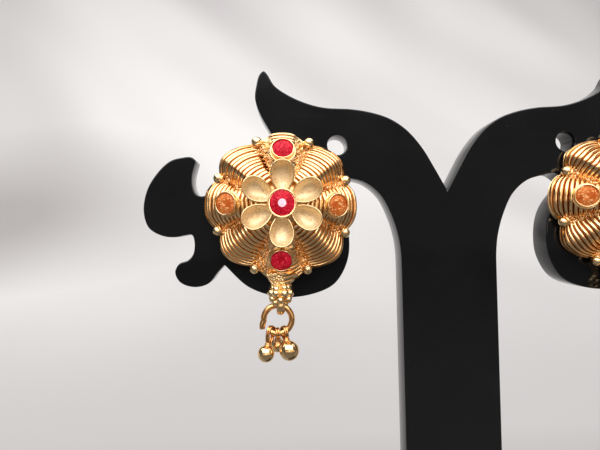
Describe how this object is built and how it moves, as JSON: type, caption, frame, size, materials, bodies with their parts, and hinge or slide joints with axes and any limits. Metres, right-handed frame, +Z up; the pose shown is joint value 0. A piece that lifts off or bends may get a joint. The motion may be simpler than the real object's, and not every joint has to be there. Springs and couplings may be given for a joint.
{
  "type": "earring pair on display stand",
  "caption": "Domed, lobed gold stud earrings with set stones, a petal flower and hanging ball drops, on a flat cut-out black stand with scrolled arms and a foot plate.",
  "frame": {"origin": "centre of the foot plate's underside, on the table", "axes": "+Z up the stand, +X to the right seen from the front, -Y towards the viewer, out of the earrings' faces"},
  "size_m": [0.0938, 0.042, 0.1],
  "materials": {
    "black_acrylic": "polished faces, laser-cut edges",
    "gold": "polished ridges, matte petals",
    "ring_gold": "worn polish",
    "drop_gold": "mirror polish",
    "post_metal": "satin",
    "red_stone": "faceted",
    "amber_stone": "faceted"
  },
  "bodies": {
    "root": {"stand_panel": "black_acrylic", "stand_base": "black_acrylic", "ear_body_left": "gold", "ear_post_left": "post_metal", "stone_centre_left": "red_stone", "stone_right_left": "amber_stone", "stone_top_left": "red_stone", "stone_left_left": "amber_stone", "stone_bottom_left": "red_stone", "jump_ring_left": "ring_gold", "drop_a_left": "drop_gold", "drop_b_left": "drop_gold", "drop_c_left": "drop_gold", "ear_body_right": "gold", "ear_post_right": "post_metal", "stone_centre_right": "red_stone", "stone_right_right": "amber_stone", "stone_top_right": "red_stone", "stone_left_right": "amber_stone", "stone_bottom_right": "red_stone", "jump_ring_right": "ring_gold", "drop_a_right": "drop_gold", "drop_b_right": "drop_gold", "drop_c_right": "drop_gold"}
  },
  "joints": []
}
